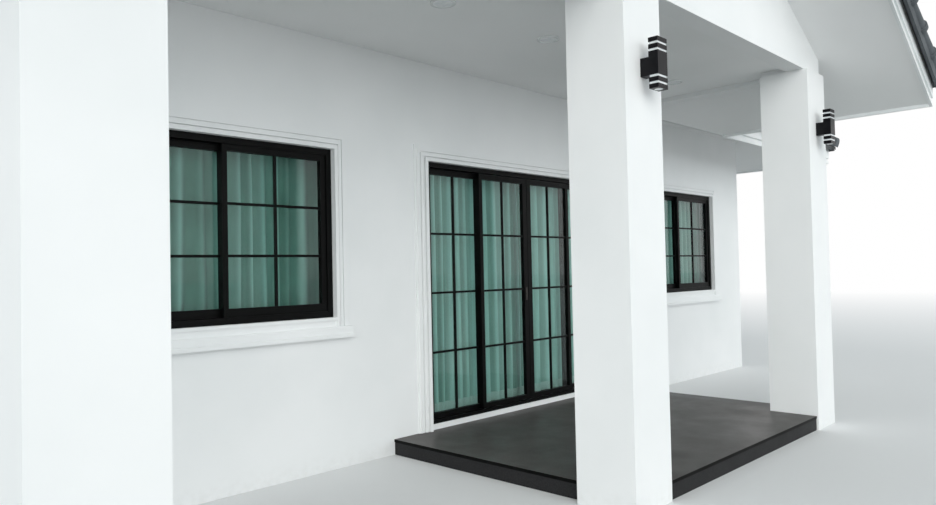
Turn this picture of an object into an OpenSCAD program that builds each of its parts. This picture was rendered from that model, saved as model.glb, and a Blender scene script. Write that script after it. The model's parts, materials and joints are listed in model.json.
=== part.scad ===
// Bungalow with a hip roof and a columned front porch under a projecting gable.
// The origin is on the ground at the middle of the house. The front faces -Y and +Z is up.
// A wall's window is drawn in its own local frame: the wall's outer face is y = 0, outside is -y.

/* [House] */
// Width of the house over its side walls
house_w = 9420; // [8800:10:10400]
// Depth of the house over its front and back walls
house_d = 8000; // [7000:50:9600]
// Thickness of the outer walls
wall_t = 150; // [120:10:220]
// Level of the floor inside
floor_z = 170; // [150:5:220]
// Level of the underside of the ceilings
ceiling_z = 3165; // [3000:5:3200]
// Thickness of the ceiling boards
ceiling_t = 12; // [9:1:20]

/* [Porch] */
// Distance from the front wall to the front faces of the columns
porch_d = 2200; // [1800:10:2600]
// Side of a square column
column_w = 410; // [300:10:460]
// How far the left column stands out past the side wall
column_stand_out = 75; // [0:5:120]
// Distance between the left and the middle column, centre to centre
left_bay = 3068; // [2800:1:3200]
// Distance between the middle and the right column, centre to centre
middle_bay = 2932; // [2700:1:3100]
// Thickness of the gable wall and of the beams on the columns
beam_t = 150; // [120:10:300]
// How far the beams hang below the ceiling
beam_drop = 40; // [20:1:120]
// How far the gable wall and the beams lie behind the columns' faces
beam_recess = 30; // [10:2:60]

/* [Deck] */
// Level of the top of the granite deck
deck_z = 120; // [90:5:145]
// Thickness of the deck's top slab
deck_slab_t = 20; // [16:2:40]
// How far the top slab stands out past the deck's base
deck_nosing = 5; // [2:1:40]
// How far the deck's ends lie inside the columns' outer faces
deck_end_inset = 62; // [0:2:120]
// How far the deck's front lies behind the columns' front faces
deck_front_inset = 12; // [0:2:60]

/* [Roof] */
// Slope of all roof planes, in degrees
pitch = 28.1; // [24:0.1:32]
// Level of the lower edge of the fascias
eave_z = 2838; // [2800:1:2900]
// How far the main eaves stand out past the walls
eave_overhang = 940; // [700:10:1000]
// How far the porch's right eave stands out past the right column
porch_eave_overhang = 753; // [600:1:900]
// How far the verge stands out in front of the gable wall
verge_overhang = 695; // [500:5:800]
// Height of the fascias and bargeboards
fascia_h = 215; // [180:5:260]
// Thickness of the fascias and bargeboards
fascia_t = 32; // [24:1:40]
// Height of a fascia's lower band
fascia_low_band = 38; // [30:1:70]
// Height of the groove between a fascia's bands
fascia_groove = 38; // [20:1:70]
// Depth of the groove
fascia_groove_depth = 20; // [6:1:22]
// How far the lower band lies behind the upper one
fascia_step = 6; // [2:1:12]
// How far the soffit boards lie above the fascia's lower edge
soffit_lift = 30; // [5:1:40]
// Level where the main soffits meet the walls
soffit_wall_z = 3218; // [3180:1:3260]
// Thickness of the soffit boards
soffit_t = 12; // [9:1:20]
// Thickness of the tiled layer with its battens
tile_t = 60; // [40:1:90]
// How far the tiles reach past the fascias
tile_lip = 60; // [30:5:90]
// How far the tiles reach past the bargeboards
verge_lip = 30; // [20:2:60]
// Length of a ridge tile or verge tile that shows
cap_pitch = 330; // [300:5:420]
// Radius of the ridge tiles
cap_r = 110; // [90:2:140]
// How far a ridge tile's collar stands up from it
cap_collar = 12; // [4:1:20]
// Length of a ridge tile's collar
cap_collar_l = 45; // [30:1:80]
// Radius of the rounded tiles where ridges and hips meet
junction_r = 140; // [125:1:170]
// Radius of the roll on the verge tiles
verge_roll_r = 55; // [40:1:80]
// Height of the verge tiles' side
verge_side_h = 125; // [90:5:180]
// Thickness of the verge tiles' side
verge_side_t = 24; // [15:1:35]
// Height of the moulding under the main soffit
cornice_h = 34; // [20:2:60]
// How far that moulding stands out from the wall
cornice_out = 26; // [14:2:50]

/* [Windows] */
// Width of a window's hole in the wall
window_w = 1660; // [1400:10:1800]
// Level of the lower edge of the windows
window_low_z = 1110; // [900:5:1200]
// Level of the top of the windows and of the door
head_z = 2345; // [2200:5:2500]
// Distance of the front windows from the middle of the house
window_x = 3035; // [2900:5:3150]
// Distance of the side windows from the middle of the house
side_window_y = 2000; // [1600:10:2400]
// Width of the window frames' face
frame_face = 44; // [40:1:70]
// Depth of the window and door frames
frame_depth = 112; // [108:1:115]
// How far the frames lie behind the wall's outer face
frame_inset = 10; // [4:1:20]
// Width of a sash's outer stile and top rail
sash_face = 45; // [40:1:60]
// Height of a sash's bottom rail
sash_foot = 58; // [40:1:90]
// Width of the stiles where two sashes pass each other
sash_meeting_face = 36; // [30:1:50]
// Width that two sashes share where they pass each other
sash_overlap = 44; // [34:1:60]
// Thickness of a sash or a door leaf
leaf_t = 40; // [34:1:42]
// Distance between two leaves that pass each other
track_gap = 10; // [8:1:16]
// Distance of the outer leaf from the front of its frame
leaf_inset = 10; // [6:1:12]
// Thickness of the panes
glass_t = 6; // [4:1:10]

/* [Door] */
// Width of the doorway
door_w = 2660; // [2200:10:2700]
// Distance of the doorway's middle from the middle of the house
door_x = 60; // [0:5:75]
// Level of the top of the threshold
threshold_z = 165; // [150:1:210]
// Width of the door frame's sides
door_frame_face = 60; // [45:1:75]
// Height of the door frame's head
door_frame_head = 40; // [34:1:60]
// Height of the door frame's foot, which holds the tracks
door_frame_foot = 30; // [24:1:60]
// Width of a door leaf's stile at the jamb or in the door's middle
stile_face = 56; // [45:1:70]
// Width of the stiles where two leaves pass each other
leaf_meeting_face = 40; // [34:1:60]
// Height of a door leaf's top rail
top_rail = 50; // [40:1:70]
// Width that two leaves share where they pass each other
leaf_overlap = 50; // [42:1:80]
// Height of a door leaf's bottom rail
bottom_rail = 42; // [36:1:120]
// Clearance round a leaf that slides
leaf_clear = 6; // [5:1:8]
// Height of the lock on the left sliding leaf above the threshold
lock_height = 1035; // [900:5:1150]
// Width of the lock's plate
lock_plate_w = 24; // [18:1:28]
// Height of the lock's plate
lock_plate_h = 120; // [90:5:180]
// Thickness of the lock's plate and of its round thumb piece
lock_plate_t = 4; // [2:0.5:5]
// Diameter of the lock's thumb piece
lock_thumb_d = 18; // [12:1:22]

/* [Mouldings] */
// Width of the moulding round the windows and the door
trim_w = 130; // [100:1:150]
// How far the moulding's inner bead stands out from the wall
trim_out = 40; // [24:1:48]
// Height of a window sill
sill_h = 82; // [55:1:100]
// How far a sill stands out from the wall
sill_out = 62; // [50:1:90]
// How far a sill reaches past the moulding on each side
sill_ear = 8; // [5:1:30]
// Height of the band between a window and its sill
sill_band = 68; // [30:1:80]

/* [Lamps] */
// Width of a wall lamp
lamp_w = 108; // [90:2:130]
// Depth of a wall lamp
lamp_d = 62; // [50:2:120]
// Height of a wall lamp
lamp_h = 300; // [260:5:380]
// Level of the middle of the wall lamps
lamp_z = 2620; // [2400:10:2700]
// Distance of a lamp's body from the column
lamp_gap = 68; // [30:1:90]
// Height of the bracket that holds a lamp
lamp_bracket_h = 110; // [80:2:140]
// Width of the bracket
lamp_bracket_w = 64.8; // [50:0.1:85]
// How far the middle of the bracket lies below the middle of its lamp
lamp_bracket_drop = 10; // [0:1:20]
// Thickness of a lamp's wall in front of and behind its lenses
lamp_wall = 6.2; // [4:0.1:10]
// Height of a lamp's end cap
lamp_cap_h = 26; // [20:1:40]
// Height of a pale ring on a lamp
lamp_ring_h = 14; // [8:1:18]
// Distance between a lamp's two pale rings
lamp_ring_gap = 26; // [10:1:34]
// How far a pale ring lies behind the lamp's faces
lamp_ring_inset = 4; // [2:1:8]
// Diameter of a ceiling lamp's rim
downlight_d = 170; // [140:5:220]
// Width of the rim round the lens
downlight_rim_w = 18.7; // [10:0.1:30]
// How far the rim stands below the ceiling
downlight_rim_t = 8; // [4:1:14]
// Distance of a ceiling lamp from the middle of its bay
downlight_x = 950; // [800:10:1000]

/* [Curtains] */
// Depth of a hanging curtain's folds
curtain_t = 60; // [40:2:70]
// Distance of the curtains from the wall's inner face
curtain_gap = 45; // [30:1:60]
// How far a curtain reaches past its opening on each side
curtain_side = 80; // [40:5:150]
// How far a window's curtain reaches below its opening
curtain_below = 150; // [50:10:300]
// Distance of the door's curtains from the floor
curtain_off_floor = 30; // [15:5:60]
// Distance between the two halves of the door's curtain
curtain_parting = 10; // [10:5:200]
// Height of the curtain rails
rail_h = 30; // [20:1:40]

/* [Hidden] */
$fn = 32;

// A length that solids are cut past each other by, so that no two faces coincide in a cut
over = 50;
// Gap at the mitre joints of boards
mitre_gap = 2;
// Gap between the tiled slabs and what they lie on
bed_gap = 1;

front_y = -house_d / 2;
slope = tan(pitch);
column_front_y = front_y - porch_d;
column_y = column_front_y + column_w / 2;
left_column_x = -house_w / 2 - column_stand_out + column_w / 2;
middle_column_x = left_column_x + left_bay;
right_column_x = middle_column_x + middle_bay;
porch_x0 = left_column_x - column_w / 2;
porch_x1 = right_column_x + column_w / 2;
beam_z = ceiling_z - beam_drop;
beam_y = column_front_y + beam_recess;
beam_x0 = porch_x0 + beam_recess;
beam_x1 = porch_x1 - beam_recess;

// Roof outline. The porch's left slope lies in the same plane as the main left slope.
eave_x = house_w / 2 + eave_overhang;
eave_y = house_d / 2 + eave_overhang;
porch_eave_x = porch_x1 + porch_eave_overhang;
ridge_x = (porch_eave_x - eave_x) / 2;
porch_half = porch_eave_x - ridge_x;
verge_y = column_front_y - verge_overhang;
soffit_slope = (soffit_wall_z - eave_z - soffit_lift) / (eave_overhang - fascia_t);
slab_lift = fascia_h - soffit_lift;
slab_v = tile_t / cos(pitch);
soffit_v = soffit_t / cos(pitch);
hip_end_x = eave_x - eave_y;
// Where the porch ridge meets the left hip
junction_y = -eave_y + porch_half;

// Height of a roof layer above a point this far inside the eave
function layer_z(inset, lift = 0) = eave_z + soffit_lift + lift + inset * slope;

// Levels on the ridge lines, where the ridge tiles lie
main_ridge_z = layer_z(eave_y, slab_lift + slab_v + bed_gap);
porch_ridge_z = layer_z(porch_half, slab_lift + slab_v + bed_gap);

front_windows = [[-window_x, front_y, 0], [window_x, front_y, 0]];
left_windows = [for (s = [-1, 1]) [-house_w / 2, s * side_window_y, -90]];
right_windows = [for (s = [-1, 1]) [house_w / 2, s * side_window_y, 90]];
back_windows = [for (s = [-1, 0, 1]) [s * window_x, house_d / 2, 180]];
all_windows = concat(front_windows, left_windows, right_windows, back_windows);
window_h = head_z - window_low_z;
door_h = head_z - threshold_z;
rear_track = leaf_inset + leaf_t + track_gap;

columns_x = [left_column_x, middle_column_x, right_column_x];

// Draws its children at each place [x, y, turn]
module at_places(places) {
    for (p = places) translate([p[0], p[1], 0]) rotate([0, 0, p[2]]) children();
}

// A box given by its two opposite corners
module box(a, b) {
    translate(a) cube([b[0] - a[0], b[1] - a[1], b[2] - a[2]]);
}

// The outline [y, z] drawn upright and carried along X from x0 to x1
module along_x(x0, x1, outline) {
    translate([x0, 0, 0]) rotate([90, 0, 90]) linear_extrude(x1 - x0) polygon(outline);
}

// The outline [x, z] drawn upright and carried along Y from y0 to y1
module along_y(y0, y1, outline) {
    translate([0, y1, 0]) rotate([90, 0, 0]) linear_extrude(y1 - y0) polygon(outline);
}

// The outline [x, y] carried up from z0 to z1
module upright(z0, z1, outline) {
    translate([0, 0, z0]) linear_extrude(z1 - z0) polygon(outline);
}

// A layer of the roof plane that rises towards +Y from the front eave, or its turned copies
module layer_from_front(edge_y, reach, lift, thick) {
    outline = [
        [-edge_y - reach, layer_z(-reach, lift)], [0, layer_z(edge_y, lift)],
        [0, layer_z(edge_y, lift) + thick], [-edge_y - reach, layer_z(-reach, lift) + thick]
    ];
    along_x(-3 * eave_x, 3 * eave_x, outline);
}

// A layer of a roof plane that rises towards +X from the eave at x = -edge
module layer_from_left(edge, reach, lift, thick) {
    outline = [
        [-edge - reach, layer_z(-reach, lift)], [0, layer_z(edge, lift)],
        [0, layer_z(edge, lift) + thick], [-edge - reach, layer_z(-reach, lift) + thick]
    ];
    along_y(verge_y - 3 * eave_y, 3 * eave_y, outline);
}

// Plan outlines of the six roof planes, each reaching past the eaves by lip and past the verge by front
function plan_front(lip) = [
    [porch_eave_x + lip, -eave_y - lip], [eave_x + lip, -eave_y - lip],
    [hip_end_x, 0], [-hip_end_x, 0], [ridge_x, junction_y]
];
function plan_right(lip) = [[eave_x + lip, -eave_y - lip], [eave_x + lip, eave_y + lip], [hip_end_x, 0]];
function plan_back(lip) = [
    [eave_x + lip, eave_y + lip], [-eave_x - lip, eave_y + lip], [-hip_end_x, 0], [hip_end_x, 0]
];
function plan_left(lip) = [
    [-eave_x - lip, eave_y + lip], [-eave_x - lip, junction_y], [ridge_x, junction_y], [-hip_end_x, 0]
];
function plan_porch_left(lip, front) = [
    [-eave_x - lip, verge_y - front], [ridge_x, verge_y - front],
    [ridge_x, junction_y], [-eave_x - lip, junction_y]
];
function plan_porch_right(lip, front) = [
    [ridge_x, verge_y - front], [porch_eave_x + lip, verge_y - front],
    [porch_eave_x + lip, -eave_y - lip], [ridge_x, junction_y]
];

// One roof plane's layer, cut to its plan outline
module front_layer(plan, reach, lift, thick) {
    intersection() {
        layer_from_front(eave_y, reach, lift, thick);
        upright(0, 2 * main_ridge_z, plan);
    }
}
module left_layer(plan, reach, lift, thick) {
    intersection() {
        layer_from_left(eave_x, reach, lift, thick);
        upright(0, 2 * main_ridge_z, plan);
    }
}
module right_layer(plan, reach, lift, thick) {
    intersection() {
        mirror([1, 0, 0]) layer_from_left(eave_x, reach, lift, thick);
        upright(0, 2 * main_ridge_z, plan);
    }
}
module back_layer(plan, reach, lift, thick) {
    intersection() {
        mirror([0, 1, 0]) layer_from_front(eave_y, reach, lift, thick);
        upright(0, 2 * main_ridge_z, plan);
    }
}
module porch_right_layer(plan, reach, lift, thick) {
    intersection() {
        translate([ridge_x, 0, 0]) mirror([1, 0, 0]) layer_from_left(porch_half, reach, lift, thick);
        upright(0, 2 * main_ridge_z, plan);
    }
}

// The space under the main roof's tiled layer
module under_main_roof() {
    low = layer_z(0, slab_lift - bed_gap);
    top = layer_z(eave_y, slab_lift - bed_gap);
    side_top = layer_z(eave_x, slab_lift - bed_gap);
    intersection() {
        along_x(-eave_x, eave_x, [
            [-eave_y, -over], [eave_y, -over], [eave_y, low], [0, top], [-eave_y, low]
        ]);
        along_y(-eave_y, eave_y, [
            [-eave_x, -over], [eave_x, -over], [eave_x, low], [0, side_top], [-eave_x, low]
        ]);
    }
}

// The space under the porch roof's tiled layer, from z0 up
module under_porch_roof(z0) {
    low = layer_z(0, slab_lift - bed_gap);
    top = layer_z(porch_half, slab_lift - bed_gap);
    along_y(verge_y, front_y, [
        [-eave_x, z0], [porch_eave_x, z0], [porch_eave_x, low], [ridge_x, top], [-eave_x, low]
    ]);
}

// Walls

// The hole that a window leaves in its wall
module window_hole() {
    box([-window_w / 2, -over, window_low_z], [window_w / 2, wall_t + over, head_z]);
}

// A straight wall from corner a to corner b in plan, up to the roof and with its window holes
module wall(a, b) {
    difference() {
        intersection() {
            box([a[0], a[1], 0], [b[0], b[1], 2 * ceiling_z]);
            under_main_roof();
        }
        at_places(all_windows) window_hole();
    }
}

module floor_slab() {
    inner_x = house_w / 2 - wall_t;
    inner_y = house_d / 2 - wall_t;
    color("lightgrey") box([-inner_x, -inner_y, 0], [inner_x, inner_y, floor_z]);
}

module door_threshold() {
    color("white") box([door_x - door_w / 2, front_y, 0],
        [door_x + door_w / 2, front_y + wall_t, threshold_z]);
}

module front_wall_left() {
    color("white") wall([-house_w / 2, front_y], [door_x - door_w / 2, front_y + wall_t]);
}

module front_wall_right() {
    color("white") wall([door_x + door_w / 2, front_y], [house_w / 2, front_y + wall_t]);
}

module wall_over_door() {
    color("white") intersection() {
        box([door_x - door_w / 2, front_y, head_z], [door_x + door_w / 2, front_y + wall_t, 2 * ceiling_z]);
        under_main_roof();
    }
}

module left_wall() {
    color("white") wall([-house_w / 2, front_y + wall_t], [-house_w / 2 + wall_t, -front_y - wall_t]);
}

module right_wall() {
    color("white") wall([house_w / 2 - wall_t, front_y + wall_t], [house_w / 2, -front_y - wall_t]);
}

module back_wall() {
    color("white") wall([-house_w / 2, -front_y - wall_t], [house_w / 2, -front_y]);
}

// The moulding under the main soffits, round the walls outside the porch
module cornice() {
    top = soffit_wall_z - cornice_out * soffit_slope - bed_gap;
    step = cornice_out / 2;
    color("white") difference() {
        union() {
            box([-house_w / 2 - cornice_out, front_y - cornice_out, top - cornice_h / 2],
                [house_w / 2 + cornice_out, -front_y + cornice_out, top]);
            box([-house_w / 2 - step, front_y - step, top - cornice_h],
                [house_w / 2 + step, -front_y + step, top]);
        }
        box([-house_w / 2, front_y, 0], [house_w / 2, -front_y, 2 * ceiling_z]);
        box([-eave_x, column_front_y, 0], [porch_x1, front_y, 2 * ceiling_z]);
    }
}

module room_ceiling() {
    inner_x = house_w / 2 - wall_t;
    inner_y = house_d / 2 - wall_t;
    color("white") box([-inner_x, -inner_y, ceiling_z], [inner_x, inner_y, ceiling_z + ceiling_t]);
}

// Porch

// A column, with a narrower head that the gable wall and the beams close round
module column(x) {
    half = column_w / 2;
    color("white") {
        box([x - half, column_front_y, 0], [x + half, column_front_y + column_w, beam_z]);
        column_head(x);
    }
}

module column_head(x) {
    half = column_w / 2 - beam_recess;
    box([x - half, column_front_y + beam_recess, beam_z - over],
        [x + half, column_front_y + column_w, ceiling_z]);
}

module column_left() { column(left_column_x); }

module column_middle() { column(middle_column_x); }

module column_right() { column(right_column_x); }

// The wall that stands on the columns, with the beam along its foot
module gable_wall() {
    color("white") difference() {
        intersection() {
            box([beam_x0, beam_y, beam_z], [beam_x1, beam_y + beam_t, 2 * ceiling_z]);
            under_porch_roof(0);
        }
        for (x = columns_x) column_head(x);
    }
}

// The beams from the outer columns back to the house
module porch_side_beams() {
    color("white") for (x = [beam_x0, beam_x1 - beam_t]) difference() {
        intersection() {
            box([x, beam_y + beam_t, beam_z], [x + beam_t, front_y, 2 * ceiling_z]);
            under_porch_roof(0);
        }
        for (c = columns_x) column_head(c);
    }
}

module porch_ceiling() {
    color("white") difference() {
        box([beam_x0 + beam_t, beam_y + beam_t, ceiling_z],
            [beam_x1 - beam_t, front_y, ceiling_z + ceiling_t]);
        at_places(downlight_places) translate([0, 0, ceiling_z - over]) cylinder(h = 2 * over, r = can_r);
    }
}

// The deck's outline in plan, grown by the nosing, less the columns that pass through it
module deck_layer(z0, z1, nosing) {
    x0 = middle_column_x - column_w / 2 + deck_end_inset;
    x1 = right_column_x + column_w / 2 - deck_end_inset;
    y0 = column_front_y + deck_front_inset;
    difference() {
        box([x0 + deck_nosing - nosing, y0 + deck_nosing - nosing, z0],
            [x1 - deck_nosing + nosing, front_y, z1]);
        for (x = [middle_column_x, right_column_x])
            box([x - column_w / 2, column_front_y, -over],
                [x + column_w / 2, column_front_y + column_w, ceiling_z]);
    }
}

module deck_base() { color("dimgrey") deck_layer(0, deck_z - deck_slab_t, 0); }

module deck_top() { color("dimgrey") deck_layer(deck_z - deck_slab_t, deck_z, deck_nosing); }

// Roof

module main_roof_front() {
    color("dimgrey") front_layer(plan_front(tile_lip), tile_lip, slab_lift, slab_v);
}

module main_roof_right() {
    color("dimgrey") right_layer(plan_right(tile_lip), tile_lip, slab_lift, slab_v);
}

module main_roof_back() {
    color("dimgrey") back_layer(plan_back(tile_lip), tile_lip, slab_lift, slab_v);
}

module main_roof_left() {
    color("dimgrey") left_layer(plan_left(tile_lip), tile_lip, slab_lift, slab_v);
}

module porch_roof_left() {
    color("dimgrey") left_layer(plan_porch_left(tile_lip, verge_lip), tile_lip, slab_lift, slab_v);
}

module porch_roof_right() {
    color("dimgrey") porch_right_layer(plan_porch_right(tile_lip, verge_lip), tile_lip, slab_lift, slab_v);
}

// Where the rows of ridge tiles begin, measured from the point where they meet
row_start = junction_r + mitre_gap;

// A row of half-round tiles along +X over two slopes that fall away at this angle
module ridge_row(length, side_angle) {
    count = ceil(length / cap_pitch);
    step = length / count;
    wide = 3 * cap_r;
    fall = wide * tan(side_angle);
    rotate([90, 0, 90]) difference() {
        union() {
            cylinder(h = length, r = cap_r);
            for (i = [0 : count - 1])
                translate([0, 0, i * step]) cylinder(h = cap_collar_l, r = cap_r + cap_collar);
        }
        translate([0, 0, -over]) linear_extrude(length + 2 * over)
            polygon([[0, 0], [-wide, -fall], [-wide, -2 * wide], [wide, -2 * wide], [wide, -fall]]);
    }
}

// A row of tiles down the hip from its top point to its low point, that stops this far above the low point
module hip_row(top, low, stop) {
    dx = low[0] - top[0];
    dy = low[1] - top[1];
    run = sqrt(dx * dx + dy * dy);
    fall = run / sqrt(2) * slope;
    length = sqrt(run * run + fall * fall);
    side_angle = atan(slope / sqrt(2 + slope * slope));
    translate(top) rotate([0, 0, atan2(dy, dx)]) rotate([0, atan2(fall, run), 0])
        translate([length - stop, 0, 0]) mirror([1, 0, 0]) ridge_row(length - stop - row_start, side_angle);
}

// The body of the main roof up to the top of its tiles
module main_roof_body() {
    low = layer_z(0, slab_lift + slab_v + bed_gap);
    outline = [[-eave_y, 0], [eave_y, 0], [eave_y, low], [0, main_ridge_z], [-eave_y, low]];
    side_top = layer_z(eave_x, slab_lift + slab_v + bed_gap);
    intersection() {
        along_x(-eave_x, eave_x, outline);
        along_y(-eave_y, eave_y, [[-eave_x, 0], [eave_x, 0], [eave_x, low], [0, side_top], [-eave_x, low]]);
    }
}

// The body of the porch roof up to the top of its tiles
module porch_roof_body() {
    low = layer_z(0, slab_lift + slab_v + bed_gap);
    along_y(verge_y, 0, [
        [-eave_x, 0], [porch_eave_x, 0], [porch_eave_x, low], [ridge_x, porch_ridge_z], [-eave_x, low]
    ]);
}

module ridge_tiles() {
    lip_x = eave_x + tile_lip;
    lip_y = eave_y + tile_lip;
    front_end = verge_y - verge_lip;
    left_end = [-hip_end_x, 0, main_ridge_z];
    right_end = [hip_end_x, 0, main_ridge_z];
    junction = [ridge_x, junction_y, porch_ridge_z];
    color("dimgrey") {
        translate([row_start - hip_end_x, 0, main_ridge_z]) ridge_row(2 * (hip_end_x - row_start), pitch);
        hip_row(right_end, [lip_x, -lip_y], 0);
        hip_row(right_end, [lip_x, lip_y], 0);
        hip_row(left_end, [-lip_x, lip_y], 0);
        hip_row(left_end, junction, row_start);
        translate([ridge_x, front_end, porch_ridge_z]) rotate([0, 0, 90])
            ridge_row(junction_y - front_end - row_start, pitch);
        for (p = [left_end, right_end, junction]) difference() {
            translate(p) sphere(junction_r);
            main_roof_body();
            porch_roof_body();
        }
    }
}

// Verge tiles on one side of the gable: a side plate with a roll on top, which swells towards its lower end
module verge_row() {
    length = (porch_half - cap_r + tile_lip) / cos(pitch);
    count = floor(length / cap_pitch);
    step = length / count;
    shown = step - mitre_gap;
    rotate([0, pitch, 0]) for (i = [0 : count - 1]) translate([cap_r / cos(pitch) + i * step, 0, 0]) {
        box([0, -verge_side_t, -verge_side_h], [shown, 0, verge_roll_r / 2]);
        difference() {
            rotate([0, 90, 0]) union() {
                cylinder(h = shown, r1 = verge_roll_r - cap_collar, r2 = verge_roll_r);
                translate([0, 0, shown - cap_collar_l])
                    cylinder(h = cap_collar_l, r = verge_roll_r + cap_collar);
            }
            box([-over, 0, -2 * verge_roll_r], [step + over, 2 * verge_roll_r, 0]);
        }
    }
}

module verge_tiles() {
    color("dimgrey") translate([ridge_x, verge_y - verge_lip, porch_ridge_z]) {
        verge_row();
        mirror([1, 0, 0]) verge_row();
    }
}

// Height of a fascia's front, which ends just under the tiled slab
fascia_top = fascia_h - bed_gap;

// A fascia's bands, each as [lower edge, upper edge, how far its face lies behind the front]
fascia_bands = [
    [0, fascia_low_band, fascia_step],
    [fascia_low_band, fascia_low_band + fascia_groove, fascia_groove_depth],
    [fascia_low_band + fascia_groove, fascia_top, 0]
];

// A fascia's section [outward distance, height] under the tiled layer
fascia_section = [
    [-fascia_step, 0], [-fascia_step, fascia_low_band],
    [-fascia_groove_depth, fascia_low_band], [-fascia_groove_depth, fascia_low_band + fascia_groove],
    [0, fascia_low_band + fascia_groove], [0, fascia_top],
    [-fascia_t, fascia_top + fascia_t * slope], [-fascia_t, 0]
];

// A fascia whose front faces -Y at y = edge, from x0 to x1
module fascia_front(edge, x0, x1) {
    along_x(x0, x1, [for (p = fascia_section) [edge - p[0], eave_z + p[1]]]);
}

// A fascia whose front faces -X at x = edge, from y0 to y1
module fascia_left(edge, y0, y1) {
    along_y(y0, y1, [for (p = fascia_section) [edge - p[0], eave_z + p[1]]]);
}

// The main eaves' boards: the front and back ones run through, the side ones fit between them
module main_fascia() {
    side_end = eave_y - fascia_t - mitre_gap;
    color("white") intersection() {
        union() {
            fascia_front(-eave_y, porch_eave_x - fascia_t, eave_x);
            rotate([0, 0, 180]) fascia_front(-eave_y, -eave_x, eave_x);
            fascia_left(-eave_x, junction_y, side_end);
            mirror([1, 0, 0]) fascia_left(-eave_x, -side_end, side_end);
        }
        under_main_roof();
    }
}

module porch_fascia() {
    behind_barge = verge_y + fascia_t;
    color("white") {
        fascia_left(-eave_x, behind_barge, junction_y);
        translate([ridge_x, 0, 0]) mirror([1, 0, 0])
            fascia_left(-porch_half, behind_barge, -eave_y - mitre_gap);
    }
}

// One sloping board of the gable, in bands, from the eave to the joint under the ridge
module bargeboard() {
    for (band = fascia_bands) {
        low = eave_z + band[0];
        high = eave_z + band[1];
        rise = (porch_half - mitre_gap / 2) * slope;
        along_y(verge_y + band[2], verge_y + fascia_t, [
            [-porch_half, low], [-mitre_gap / 2, low + rise],
            [-mitre_gap / 2, high + rise], [-porch_half, high]
        ]);
    }
}

module bargeboards() {
    color("white") translate([ridge_x, 0, 0]) {
        bargeboard();
        mirror([1, 0, 0]) bargeboard();
    }
}

// The space under the main soffits, which lie flatter than the roof
module under_main_soffit(lift) {
    x = eave_x - fascia_t;
    y = eave_y - fascia_t;
    low = eave_z + soffit_lift + lift;
    intersection() {
        along_x(-x, x, [[-y, -over], [y, -over], [y, low], [0, low + y * soffit_slope], [-y, low]]);
        along_y(-y, y, [[-x, -over], [x, -over], [x, low], [0, low + x * soffit_slope], [-x, low]]);
    }
}

// The space under the porch's soffits, which follow its roof
module under_porch_soffit(lift) {
    half = porch_half - fascia_t;
    low = eave_z + soffit_lift + lift;
    along_y(verge_y + fascia_t, front_y, [
        [ridge_x - half, -over], [ridge_x + half, -over], [ridge_x + half, low],
        [ridge_x, low + half * slope], [ridge_x - half, low]
    ]);
}

// What the soffits end against: the house and the porch inside its beams
module inside_of_walls() {
    top = 2 * main_ridge_z;
    box([-house_w / 2, front_y, 0], [house_w / 2, -front_y, top]);
    box([beam_x0, beam_y, 0], [beam_x1, front_y, top]);
}

// The boards under the main eaves
module main_soffit() {
    color("white") difference() {
        under_main_soffit(soffit_v);
        under_main_soffit(0);
        under_porch_soffit(soffit_v + bed_gap);
        inside_of_walls();
    }
}

// The boards under the porch's eaves and verge, with the upright board at the house's left corner
module porch_soffit() {
    color("white") difference() {
        union() {
            difference() {
                under_porch_soffit(soffit_v);
                under_porch_soffit(0);
            }
            intersection() {
                box([-eave_x, front_y - soffit_t, 0], [-house_w / 2, front_y, main_ridge_z]);
                under_porch_soffit(0);
            }
        }
        under_main_soffit(0);
        inside_of_walls();
    }
}

// Windows

// A rectangular ring in the wall's plane, with the widths of its four sides
module ring(x0, x1, z0, z1, y0, y1, left, right, foot, head) {
    difference() {
        box([x0, y0, z0], [x1, y1, z1]);
        box([x0 + left, y0 - over, z0 + foot], [x1 - right, y1 + over, z1 - head]);
    }
}

module window_frame() {
    ring(-window_w / 2, window_w / 2, window_low_z, head_z, frame_inset, frame_inset + frame_depth,
        frame_face, frame_face, frame_face, frame_face);
}

inner_half = window_w / 2 - frame_face;
sash_w = inner_half + sash_overlap / 2;

// The two sashes: [left edge, y of the front, width of the left stile, width of the right stile]
sash_places = [
    [-inner_half, frame_inset + rear_track, sash_face, sash_meeting_face],
    [inner_half - sash_w, frame_inset + leaf_inset, sash_meeting_face, sash_face]
];

module window_sash_pair() {
    z0 = window_low_z + frame_face;
    z1 = head_z - frame_face;
    for (s = sash_places)
        ring(s[0], s[0] + sash_w, z0, z1, s[1], s[1] + leaf_t, s[2], s[3], sash_foot, sash_face);
}

module window_pane_pair() {
    z0 = window_low_z + frame_face + sash_foot;
    z1 = head_z - frame_face - sash_face;
    for (s = sash_places) {
        y = s[1] + (leaf_t - glass_t) / 2;
        box([s[0] + s[2], y, z0], [s[0] + sash_w - s[3], y + glass_t, z1]);
    }
}

// The moulding's bands and grooves from the opening outwards: [inner edge, outer edge, how far it stands
// out], as shares of its sizes
trim_bands = [
    [0, 0.21, 1], [0.21, 0.3, 0.3], [0.3, 0.36, 0.72], [0.36, 0.52, 0.6], [0.52, 0.6, 0.22],
    [0.6, 0.86, 0.5], [0.86, 1, 0.26]
];

// A moulding round the sides and the top of an opening
module trim(half_w, z0, z1) {
    for (band = trim_bands) {
        inner = trim_w * band[0];
        outer = trim_w * band[1];
        w = outer - inner;
        ring(-half_w - outer, half_w + outer, z0, z1 + outer, -trim_out * band[2], 0, w, w, 0, w);
    }
}

// The window's moulding, with the plain band that closes it below the window
module window_trim() {
    half = window_w / 2;
    low = window_low_z - sill_band;
    bead = window_low_z - sill_band / 3;
    trim(half, low, head_z);
    box([-half, -trim_out * 0.72, low], [half, 0, bead]);
    box([-half, -trim_out, bead], [half, 0, window_low_z]);
}

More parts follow.
